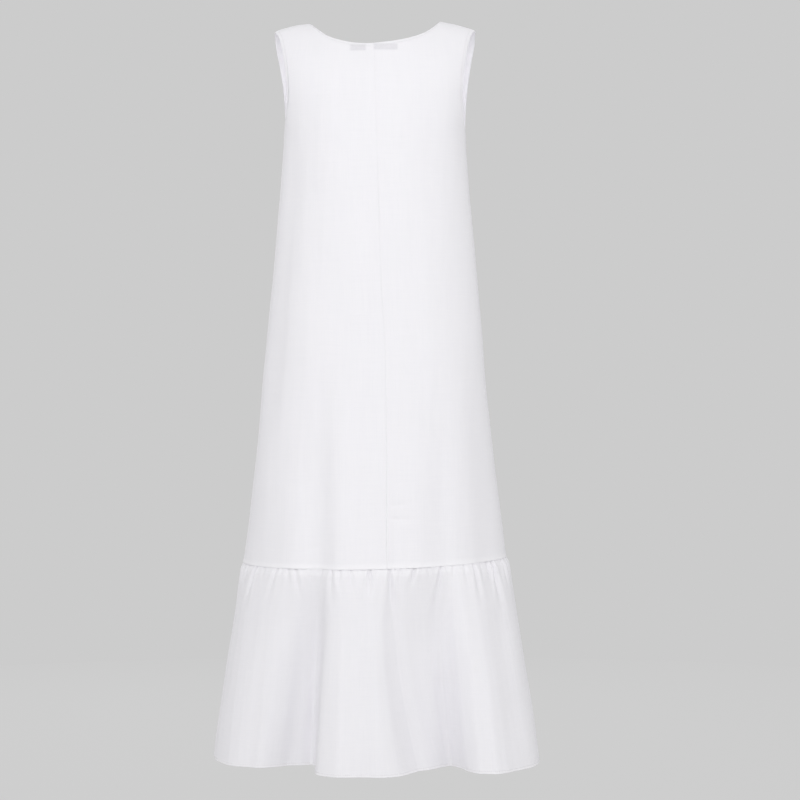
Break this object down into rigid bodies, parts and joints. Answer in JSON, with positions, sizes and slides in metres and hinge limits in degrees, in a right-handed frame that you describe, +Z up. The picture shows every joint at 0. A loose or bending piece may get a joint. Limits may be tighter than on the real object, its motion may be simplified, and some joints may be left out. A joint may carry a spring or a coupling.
{
  "type": "sundress",
  "caption": "Sleeveless flared sundress with a scooped neck, a centre back seam and a gathered flounce below the knee, kept as the hollow form of its wearing.",
  "frame": {"origin": "middle of the shoulder line, level with the points where the neckline meets the shoulders, where a hanger or stand holds the dress", "axes": "+Z up, from the hem to the shoulders; +Y towards the back of the dress, which the picture shows; +X towards the wearer's left, which is the left of the picture"},
  "size_m": [0.5655, 0.4217, 1.2827],
  "materials": {
    "linen": "plain woven white linen, matte and slightly slubbed",
    "label": "smooth woven ribbon, blank"
  },
  "bodies": {
    "root": {"back_left": "linen", "back_right": "linen", "front_body": "linen", "flounce_back": "linen", "flounce_front": "linen", "label_size": "label", "label_brand": "label"}
  },
  "joints": []
}
